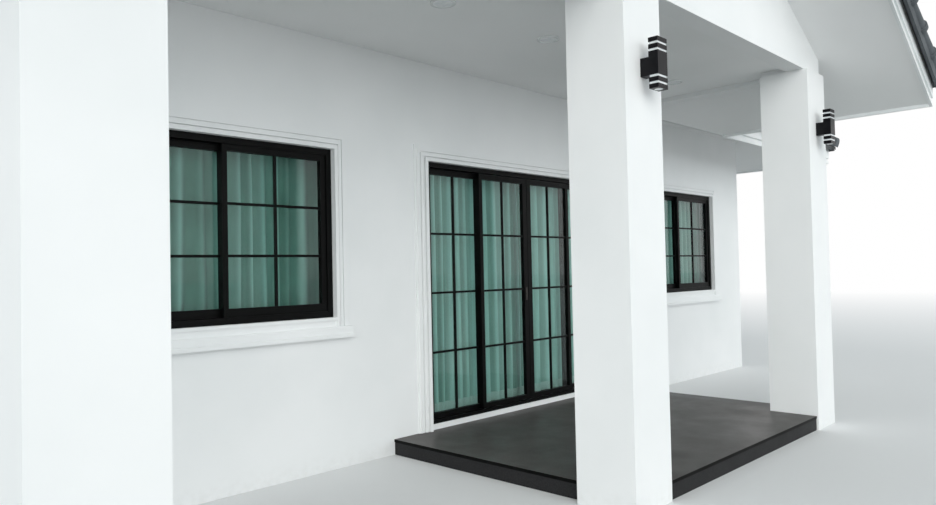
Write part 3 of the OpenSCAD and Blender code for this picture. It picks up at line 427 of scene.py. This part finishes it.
def course_rows(depth, kinks):
    """The rows of points up a slope: distance in from the eave, lift on the course, and place in tiles.

    Besides the rows of every course there is one at each kink of the slope's edges and one at its far end.
    The lift is the course's own at that place, but these extra rows have none where they fall on a nose.
    """
    starts = np.arange(0, depth, TILE_GAUGE)
    inward = (starts[:, None] + COURSE_ROWS[None, :] * TILE_GAUGE).ravel()
    course = np.repeat(np.arange(len(starts)), len(COURSE_ROWS))
    kept = inward < depth - 2 * EDGE_MARGIN
    extra = np.append(kinks, depth)
    inward = np.concatenate([inward[kept], extra])
    course = np.concatenate([course[kept], np.floor(extra / TILE_GAUGE)])
    in_course = inward / TILE_GAUGE - course
    lift = TILE_STEP * np.interp(in_course, LIFT_PLACES, LIFT_SHARES)
    is_extra = np.arange(len(inward)) >= kept.sum()
    lift[is_extra & (in_course <= NOSE_END)] = 0.0
    order = np.argsort(inward, kind="stable")
    return inward[order], lift[order], (course + np.clip(in_course, 0, TILE_END))[order]


def tiled_slope(name, node, depth, left_edge, right_edge, to_plan):
    """One roof slope as a closed solid: rows of tiles above a flat underside, between two side edges.

    left_edge and right_edge give the slope's sides along the eave for a distance in, as lists of (distance,
    place), and to_plan turns (along, inward) into x and y. Each point's height is the layer's underside plus
    the rise of the slope, a base, the course's lift and the tile's rolls.
    """
    kinks = np.array([distance for distance, _ in left_edge + right_edge])
    kinks = kinks[(kinks > EDGE_MARGIN) & (kinks < depth - EDGE_MARGIN)]
    inward, lift, up_tiles = course_rows(depth, kinks)
    lows = np.interp(inward, *np.array(left_edge).T)
    highs = np.interp(inward, *np.array(right_edge).T)
    first = math.floor(lows.min() / TILE_COVER)
    last = math.ceil(highs.max() / TILE_COVER)
    columns = (np.arange(first, last)[:, None] * TILE_COVER + TILE_COLUMNS[None, :]).ravel()
    columns = columns[(columns > lows.min() + EDGE_MARGIN) & (columns < highs.max() - EDGE_MARGIN)]
    columns = np.concatenate([[lows.min()], columns, [highs.max()]])
    along = np.clip(columns[None, :], lows[:, None], highs[:, None])
    inwards = np.broadcast_to(inward[:, None], along.shape)
    under = EAVE_Z + inwards * ROOF_SLOPE
    top = under + TILE_BASE + lift[:, None] + tile_profile(along)
    x, y = to_plan(along, inwards)
    surface = np.stack([x, y, top], axis=-1).reshape(-1, 3)
    rim = grid_rim(*along.shape)
    foot = surface[rim].copy()
    foot[:, 2] = under.ravel()[rim]
    points = np.concatenate([surface, foot])
    ring = len(surface) + np.arange(len(rim))
    walls = np.stack([rim, ring, np.roll(ring, -1), np.roll(rim, -1)], axis=1).tolist()
    faces = grid_faces(*along.shape) + walls + [ring.tolist()]
    tile_v = np.broadcast_to(up_tiles[:, None], along.shape)
    uv = np.stack([along / TILE_COVER, tile_v], axis=-1).reshape(-1, 2)
    uv = np.concatenate([uv, uv[rim]])
    piece = make_piece(name, points, faces, roof_tile, smooth_angle=38, uv=uv)
    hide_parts(node)


PORCH_HALF = PORCH_EDGE_X - PORCH_RIDGE_X
JUNCTION_IN = JUNCTION_Y + EDGE_Y
LEFT_IN = PORCH_RIDGE_X + EDGE_X

tiled_slope("tiles_main_front", "main_roof_front", EDGE_Y,
            [(0, PORCH_EDGE_X), (JUNCTION_IN, PORCH_RIDGE_X), (EDGE_Y, -RIDGE_END_X)],
            [(0, EDGE_X), (EDGE_Y, RIDGE_END_X)],
            lambda along, inward: (along, inward - EDGE_Y))
tiled_slope("tiles_main_back", "main_roof_back", EDGE_Y,
            [(0, -EDGE_X), (EDGE_Y, -RIDGE_END_X)], [(0, EDGE_X), (EDGE_Y, RIDGE_END_X)],
            lambda along, inward: (-along, EDGE_Y - inward))
tiled_slope("tiles_main_right", "main_roof_right", EDGE_Y,
            [(0, -EDGE_Y), (EDGE_Y, 0)], [(0, EDGE_Y), (EDGE_Y, 0)],
            lambda along, inward: (EDGE_X - inward, along))
tiled_slope("tiles_main_left", "main_roof_left", EDGE_Y,
            [(0, -EDGE_Y), (EDGE_Y, 0)],
            [(0, -JUNCTION_Y), (LEFT_IN, -JUNCTION_Y), (EDGE_Y, 0)],
            lambda along, inward: (inward - EDGE_X, -along))
tiled_slope("tiles_porch_left", "porch_roof_left", LEFT_IN,
            [(0, -JUNCTION_Y), (LEFT_IN, -JUNCTION_Y)],
            [(0, -PORCH_FRONT_Y), (LEFT_IN, -PORCH_FRONT_Y)],
            lambda along, inward: (inward - EDGE_X, -along))
tiled_slope("tiles_porch_right", "porch_roof_right", PORCH_HALF,
            [(0, PORCH_FRONT_Y), (PORCH_HALF, PORCH_FRONT_Y)],
            [(0, -EDGE_Y), (PORCH_HALF, JUNCTION_Y)],
            lambda along, inward: (PORCH_EDGE_X - inward, along))

# Mortar under the ridge tiles

# Half the bed's width, the points across it as shares of that, and how far each lies under the layer's top
BED_HALF = 88 * MM
BED_PLACES = np.array([-1.0, -0.98, -0.5, 0.0, 0.5, 0.98, 1.0])
BED_DEPTHS = np.array([20, 6, 1, 1, 1, 6, 20]) * MM
# How far the bed's foot lies over the layer's underside, and the length between its sections
BED_FOOT = 24 * MM
BED_SECTION = 110 * MM
# How far the mortar stops short of an eave's corner, and of the gable's front
CORNER_GAP = 30 * MM
GABLE_GAP = 4 * MM


def bedding(name, start, end, side_fall, gap=0.0):
    """The mortar under a row of ridge tiles: one section, carried straight from start towards end.

    start and end are the points where the layer's upper faces meet, and the mortar stops the gap short of the
    end. side_fall is how much these faces fall for each metre out sideways. The section's top falls with them
    and turns down at both sides, and its foot falls the same way.
    """
    start, end = np.array(start), np.array(end)
    ahead = end - start
    ahead = ahead * (1 - gap / np.linalg.norm(ahead))
    aside = np.array([-ahead[1], ahead[0], 0.0]) / np.hypot(ahead[0], ahead[1])
    upwards = np.array([0.0, 0.0, 1.0])
    drops = np.abs(BED_PLACES) * BED_HALF * side_fall + BED_DEPTHS
    upper = BED_PLACES[:, None] * BED_HALF * aside[None, :] - drops[:, None] * upwards[None, :]
    lower = upper - (LAYER_RISE - BED_FOOT - BED_DEPTHS)[:, None] * upwards[None, :]
    section = np.concatenate([upper, lower[::-1]])
    steps = np.linspace(0, 1, max(2, int(np.linalg.norm(ahead) / BED_SECTION)))
    points = start[None, None, :] + steps[:, None, None] * ahead[None, None, :] + section[None, :, :]
    points = np.concatenate([points, points[:, :1]], axis=1)
    count, width = points.shape[:2]
    caps = [list(range(width - 1)), list(range((count - 1) * width, count * width - 1))]
    faces = grid_faces(count, width) + caps
    make_piece(name, points.reshape(-1, 3), faces, mortar, smooth_angle=40)


RIDGE_Z = EAVE_Z + EDGE_Y * ROOF_SLOPE + LAYER_RISE
PORCH_RIDGE_Z = EAVE_Z + PORCH_HALF * ROOF_SLOPE + LAYER_RISE
CORNER_Z = EAVE_Z + LAYER_RISE
# Out sideways from a hip, the faces fall less steeply than straight down the slope.
HIP_FALL = ROOF_SLOPE / math.sqrt(2)
left_end = (-RIDGE_END_X, 0, RIDGE_Z)
right_end = (RIDGE_END_X, 0, RIDGE_Z)
junction = (PORCH_RIDGE_X, JUNCTION_Y, PORCH_RIDGE_Z)
gable_front = (PORCH_RIDGE_X, PORCH_FRONT_Y, PORCH_RIDGE_Z)

bedding("mortar_main_ridge", left_end, right_end, ROOF_SLOPE)
bedding("mortar_hip_front_right", right_end, (EDGE_X, -EDGE_Y, CORNER_Z), HIP_FALL, gap=CORNER_GAP)
bedding("mortar_hip_back_right", right_end, (EDGE_X, EDGE_Y, CORNER_Z), HIP_FALL, gap=CORNER_GAP)
bedding("mortar_hip_back_left", left_end, (-EDGE_X, EDGE_Y, CORNER_Z), HIP_FALL, gap=CORNER_GAP)
bedding("mortar_hip_front_left", left_end, junction, HIP_FALL)
bedding("mortar_porch_ridge", junction, gable_front, ROOF_SLOPE, gap=GABLE_GAP)

# Glazing bars

BAR_FACE = 18 * MM
BAR_PROUD = 10 * MM
BAR_CHAMFER = 3 * MM


def bar_section():
    """A bar's outline seen along the bar: [across, out of the pane], with chamfered corners."""
    half = BAR_FACE / 2
    return np.array([[-half, 0], [-half, BAR_PROUD - BAR_CHAMFER], [-half + BAR_CHAMFER, BAR_PROUD],
                     [half - BAR_CHAMFER, BAR_PROUD], [half, BAR_PROUD - BAR_CHAMFER], [half, 0]])


def bars_on_panes(panes, uprights, rails):
    """Points and faces of the bars on both faces of many panes.

    A pane is (origin, along, outward, width, height, thickness): its lower left corner on its outer face, and
    two unit vectors in plan. Uprights and rails are how many bars divide it evenly. Each bar is the section
    carried from one edge of the pane to the other.
    """
    points = []
    faces = []
    section = bar_section()
    size = len(section)
    sides = [[i, i + 1, size + i + 1, size + i] for i in range(size - 1)]
    sides += [[size - 1, 0, size, 2 * size - 1], list(range(size)), list(range(2 * size - 1, size - 1, -1))]
    for origin, along, outward, width, height, thick in panes:
        along, outward = np.array([*along, 0.0]), np.array([*outward, 0.0])
        up = np.array([0.0, 0.0, 1.0])
        runs = [(width * (i + 1) / (uprights + 1), along, up, height) for i in range(uprights)]
        runs += [(height * (i + 1) / (rails + 1), up, along, width) for i in range(rails)]
        for at, across, ahead, length in runs:
            for face, out in ((0.0, outward), (thick, -outward)):
                start = np.array(origin) + across * at - outward * face
                ring = start + section[:, :1] * across + section[:, 1:] * out
                base = len(points) * 2 * size
                points.append(np.concatenate([ring, ring + ahead * length]))
                faces += [[base + i for i in side] for side in sides]
    return np.concatenate(points), faces


def blocks_of(node):
    """The lowest and highest corner of each loose block in a CAD node, in order of place.

    Vertices that agree to 0.01 mm count as one. Each starts with its own number and takes the lowest number
    next to it until nothing changes, so that a block ends with one number throughout.
    """
    mesh = frame["nodes"][node].data
    places = np.empty(len(mesh.vertices) * 3)
    mesh.vertices.foreach_get("co", places)
    places, merged = np.unique(np.round(places.reshape(-1, 3), 5), axis=0, return_inverse=True)
    ends = np.empty(len(mesh.edges) * 2, dtype=np.int32)
    mesh.edges.foreach_get("vertices", ends)
    ends = merged.ravel()[ends].reshape(-1, 2)
    label = np.arange(len(places))
    before = None
    while before is None or (label != before).any():
        before = label.copy()
        lowest = label[ends].min(axis=1)
        np.minimum.at(label, ends[:, 0], lowest)
        np.minimum.at(label, ends[:, 1], lowest)
    blocks = [places[label == number] for number in np.unique(label)]
    boxes = [(block.min(axis=0), block.max(axis=0)) for block in blocks]
    return sorted(boxes, key=lambda box: tuple(np.round(box[0], 3)))


def outer_faces(boxes):
    """Each pane's (origin, along, outward, width, height, thickness) from its box, by the wall it is in."""
    panes = []
    for lo, hi in boxes:
        size = hi - lo
        if size[0] < size[1]:
            side = 1 if lo[0] > 0 else -1
            origin = (hi[0] if side > 0 else lo[0], lo[1], lo[2])
            panes.append((origin, (0, 1), (side, 0), size[1], size[2], size[0]))
        else:
            side = 1 if lo[1] > 0 else -1
            origin = (lo[0], hi[1] if side > 0 else lo[1], lo[2])
            panes.append((origin, (1, 0), (0, side), size[0], size[2], size[1]))
    return panes


def bars_piece(name, glass_node, uprights, rails, body):
    """All the glazing bars of one glass node as one piece."""
    points, faces = bars_on_panes(outer_faces(blocks_of(glass_node)), uprights, rails)
    make_piece(name, points, faces, black_aluminium, body=body)


bars_piece("bars_windows", "window_glass", 1, 2, "root")
bars_piece("bars_door_fixed", "door_fixed_glass", 1, 3, "root")
bars_piece("bars_door_left", "door_glass_left", 1, 3, "door_left")
bars_piece("bars_door_right", "door_glass_right", 1, 3, "door_right")

# Curtains

CLOTH_T = 1.2 * MM
# A fold's mean length along the rail, the points along it, and the rows of points down a curtain
FOLD_LENGTH = 0.115
FOLD_POINTS = 16
CURTAIN_ROWS = 15
# How narrow the crests are, how deep the folds are at the heading as a share of their full depth, how far
# down they are full as a share of the height, and how wide the turned ends are
CREST_POWER = 2.2
HEADING_SHARE = 0.55
FULL_FROM = 0.25
END_TURN = 0.03
# Slow waves, each with its size and its length in metres: two stretch and squeeze the folds, one lets them
# drift, two vary their depth round its mean, as a share of the full depth, and two set the stretches of
# painted light
STRETCH = (1.6, 0.83)
RIPPLE = (0.7, 0.31)
DRIFT = (0.8, 0.43)
DRIFT_POWER = 1.5
MEAN_DEPTH = 0.66
DEPTH_SHORT = (1 - MEAN_DEPTH, 0.37)
DEPTH_LONG = (1.0, 0.9)
PAINTED_LIGHT_SHORT = (0.5, 0.47)
PAINTED_LIGHT_LONG = (1.0, 1.1)
# How much whiter the cloth is painted in a stretch of painted light and as a painted highlight on a crest,
# and a hollow's share of that painted light, which leaves the hollows in painted shade
PAINTED_LIGHT_WHITE = 0.9
CREST_HIGHLIGHT = 0.7
HOLLOW_SHARE = 0.35
# Where the first curtain starts in its waves, and how far on the next one does, in radians
FIRST_PHASE = 0.9
PHASE_STEP = 1.7


def wave(along, size, length, start):
    """A sine wave of the place along the rail, of this size and this length in metres."""
    return size * np.sin(2 * math.pi * along / length + start)


def curtain(name, lo, hi, phase, pale, streaks):
    """One curtain as a thin closed sheet that hangs in folds inside the box lo to hi.

    Its depth is a wave of the place along the rail: a cosine raised to a power, so that narrow crests stand
    towards the glass between wider hollows. Slow waves of odd lengths vary the folds' length and depth and
    let them drift sideways on their way down. The phase moves the folds and most of these waves along the
    rail, so that no two curtains of a kind are alike. The folds are shallow at the heading and full below.
    The cloth's far end turns towards the glass and its near end towards the room. pale is how much painted
    light whitens the flat cloth, from 0 to 1, and streaks is how much whiter it is painted on its crests, as
    painted highlights, and in broad stretches of painted light.
    """
    size = hi - lo
    centre = (lo + hi) / 2
    rail_axis = 0 if size[0] > size[1] else 1
    depth_axis = 1 - rail_axis
    outward = math.copysign(1, centre[depth_axis])
    width = size[rail_axis]
    along = np.linspace(0, width, int(width / FOLD_LENGTH * FOLD_POINTS) + 1)
    down = np.linspace(0, 1, CURTAIN_ROWS)
    turn = 2 * math.pi * along / FOLD_LENGTH + phase
    turn = turn + wave(along, *STRETCH, 2.1 * phase) + wave(along, *RIPPLE, 4.7 * phase)
    drift = wave(along, *DRIFT, phase)[None, :] * down[:, None] ** DRIFT_POWER
    crest = ((1 + np.cos(turn[None, :] + drift)) / 2) ** CREST_POWER
    tall = MEAN_DEPTH + wave(along, *DEPTH_SHORT, 3 * phase) * wave(along, *DEPTH_LONG, 0)
    fullness = HEADING_SHARE + (1 - HEADING_SHARE) * np.clip(down / FULL_FROM, 0, 1)
    strength = fullness[:, None] * tall[None, :]
    reach = size[depth_axis] / 2 - CLOTH_T - MM
    to_glass = np.exp(-((width - along) / END_TURN) ** 2)
    to_room = np.exp(-(along / END_TURN) ** 2)
    folds = (2 * crest - 1) * strength * (1 - to_glass - to_room)
    offset = reach * (folds + to_glass - to_room)
    lean = np.gradient(offset, along, axis=1)
    upright = 1 / np.sqrt(1 + lean ** 2)
    layers = []
    for side in (1.0, -1.0):
        place = np.clip(along[None, :] - side * CLOTH_T / 2 * lean * upright, 0, width)
        place[:, 0] = 0.0
        place[:, -1] = width
        layer = np.empty((*offset.shape, 3))
        layer[..., rail_axis] = lo[rail_axis] + place
        layer[..., depth_axis] = centre[depth_axis] + (offset + side * CLOTH_T / 2 * upright) * outward
        layer[..., 2] = (hi[2] - down * size[2])[:, None]
        layers.append(layer.reshape(-1, 3))
    count = offset.size
    rim = grid_rim(*offset.shape)
    following = np.roll(rim, -1)
    walls = np.stack([rim, following, count + following, count + rim], axis=1).tolist()
    faces = grid_faces(*offset.shape) + grid_faces(*offset.shape, count) + walls
    steps = np.hypot(np.diff(along), np.diff(offset[-1]))
    cloth_u = np.concatenate([[0.0], np.cumsum(steps)])
    cloth_v = (1 - down) * size[2]
    uv = np.stack(np.broadcast_arrays(cloth_u[None, :], cloth_v[:, None]), axis=-1).reshape(-1, 2)
    # Painted light: whiter stretches, painted highlights on the crests, painted shade in the hollows
    painted_light = 0.5 + wave(along, *PAINTED_LIGHT_SHORT, 2.3 * phase) * wave(along, *PAINTED_LIGHT_LONG, phase + math.pi / 2)
    bright = PAINTED_LIGHT_WHITE * painted_light[None, :] * (HOLLOW_SHARE + (1 - HOLLOW_SHARE) * crest)
    bright = bright + CREST_HIGHLIGHT * crest ** 2 * tall[None, :]
    white = np.clip(pale + streaks * bright, 0, 1).ravel()
    piece = make_piece(name, np.concatenate(layers), faces, curtain_cloth, smooth_angle=60,
                       uv=np.concatenate([uv, uv]), fold=np.concatenate([white, white]))
    return piece


def curtains_for(prefix, node, pale, streaks):
    """A curtain for each loose block of a CAD curtain node."""
    for number, (lo, hi) in enumerate(blocks_of(node)):
        phase = FIRST_PHASE + PHASE_STEP * number
        piece = curtain(f"{prefix}_{number + 1}", lo, hi, phase, pale, streaks)
        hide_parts(node)


# The door's curtains get more painted light than the windows': a paler flat cloth and stronger painted
# highlights.
curtains_for("curtain_window", "window_curtains", pale=0.0, streaks=0.6)
curtains_for("curtain_door", "door_curtains", pale=0.2, streaks=1.6)

# Floor, light and camera

WHITE = (1.0, 1.0, 1.0, 1.0)

# Pale studio floor, rolled matt. The eye sees it pale, fading to plain white far off, while the light that it
# throws back up is that of a darker one.
FLOOR_SHADE = "#BEBEBE"
FLOOR_REACH = 150.0
FLOOR_Z = -1 * MM
studio_floor, tree, shader, place, _ = start_finish("Matt studio floor", FLOOR_SHADE, 0.9)
rays = add(tree, "LightPath", {})
to_eye = add(tree, "Math", {
    0: rays["Is Camera Ray"], 1: rays["Is Transmission Ray"]}, operation="MAXIMUM")["Value"]
from_middle = add(tree, "VectorMath", {0: place}, operation="LENGTH")["Value"]
far_off = add(tree, "MapRange", {"Value": from_middle, "From Min": 9.0, "From Max": 34.0})["Result"]
seen = add(tree, "Mix", {0: far_off, 6: linear("#E8E9E9"), 7: WHITE}, data_type="RGBA")[2]
tone = add(tree, "Mix", {0: to_eye, 6: linear(FLOOR_SHADE), 7: seen}, data_type="RGBA")[2]
tree.links.new(tone, shader.inputs["Base Color"])
fades = add(tree, "Math", {0: to_eye, 1: far_off}, operation="MULTIPLY")["Value"]
glow = add(tree, "Emission", {"Color": WHITE, "Strength": 1.0})["Emission"]
faded = add(tree, "MixShader", {0: fades, 1: shader.outputs[0], 2: glow})["Shader"]
tree.links.new(faded, tree.nodes["Material Output"].inputs["Surface"])
floor_corners = [(x * FLOOR_REACH, y * FLOOR_REACH, FLOOR_Z) for x, y in ((-1, -1), (1, -1), (1, 1), (-1, 1))]
floor_mesh = bpy.data.meshes.new("studio_floor")
floor_mesh.from_pydata(floor_corners, [], [(0, 1, 2, 3)])
floor_mesh.materials.append(studio_floor)
floor = bpy.data.objects.new("studio_floor", floor_mesh)
bpy.context.scene.collection.objects.link(floor)

# An overcast sky, brightest at the horizon, lights the house, while the camera, shiny surfaces and glass see
# plain white in its place.
world = bpy.data.worlds.new("Overcast studio")
bpy.context.scene.world = world
world.use_nodes = True
tree = world.node_tree
sky = tree.nodes["Background"]
sky.inputs["Color"].default_value = linear("#ECF5F9")
# In a world's tree the Object output is the direction looked in, so its Z is 0 at the horizon and 1 overhead.
rise = add(tree, "SeparateXYZ", {"Vector": add(tree, "TexCoord", {})["Object"]})["Z"]
strength = add(tree, "MapRange", {
    "Value": rise, "From Max": 0.5, "To Min": 2.06, "To Max": 0.485})["Result"]
tree.links.new(strength, sky.inputs["Strength"])
white = add(tree, "Background", {"Color": WHITE, "Strength": 1.0})["Background"]
rays = add(tree, "LightPath", {})
shown = add(tree, "Math", {
    0: rays["Is Camera Ray"], 1: rays["Is Glossy Ray"]}, operation="MAXIMUM")["Value"]
shown = add(tree, "Math", {0: shown, 1: rays["Is Transmission Ray"]}, operation="MAXIMUM")["Value"]
mixed = add(tree, "MixShader", {0: shown, 1: sky.outputs[0], 2: white})["Shader"]
tree.links.new(mixed, tree.nodes["World Output"].inputs["Surface"])

# One very wide, soft light from the front and the left, as low as a bright overcast horizon
soft_light = bpy.data.lights.new("front_soft_light", "SUN")
soft_light.energy = 1.84
soft_light.angle = math.radians(60)
soft_light.color = linear("#FFFEFA")[:3]
soft_light_holder = bpy.data.objects.new("front_soft_light", soft_light)
soft_light_holder.rotation_euler = (math.radians(70), 0, math.radians(-40))
bpy.context.scene.collection.objects.link(soft_light_holder)

# The camera of the photograph, found from the building's straight lines, with its angles given in degrees
PICTURE_WIDTH = 936
FOCAL_PIXELS = 729.35
SENSOR_WIDTH = 36.0
CAMERA_PLACE = (-5.3568, -8.4497, 1.4287)
YAW, PITCH, ROLL = (math.radians(angle) for angle in (45.7924, 1.4367, -1.219))
ahead = np.array([math.sin(YAW) * math.cos(PITCH), math.cos(YAW) * math.cos(PITCH), math.sin(PITCH)])
right = np.array([math.cos(YAW), -math.sin(YAW), 0.0])
above = np.cross(right, ahead)
turned_right = right * math.cos(ROLL) + above * math.sin(ROLL)
turned_up = -right * math.sin(ROLL) + above * math.cos(ROLL)
camera_data = bpy.data.cameras.new("photo_camera")
camera_data.sensor_width = SENSOR_WIDTH
camera_data.lens = FOCAL_PIXELS / PICTURE_WIDTH * SENSOR_WIDTH
camera_data.clip_end = 2 * FLOOR_REACH
camera = bpy.data.objects.new("photo_camera", camera_data)
bpy.context.scene.collection.objects.link(camera)
axes = np.column_stack([turned_right, turned_up, -ahead, CAMERA_PLACE])
camera.matrix_world = Matrix(np.vstack([axes, (0.0, 0.0, 0.0, 1.0)]).tolist())
bpy.context.scene.camera = camera
bpy.context.scene.view_settings.view_transform = "Standard"
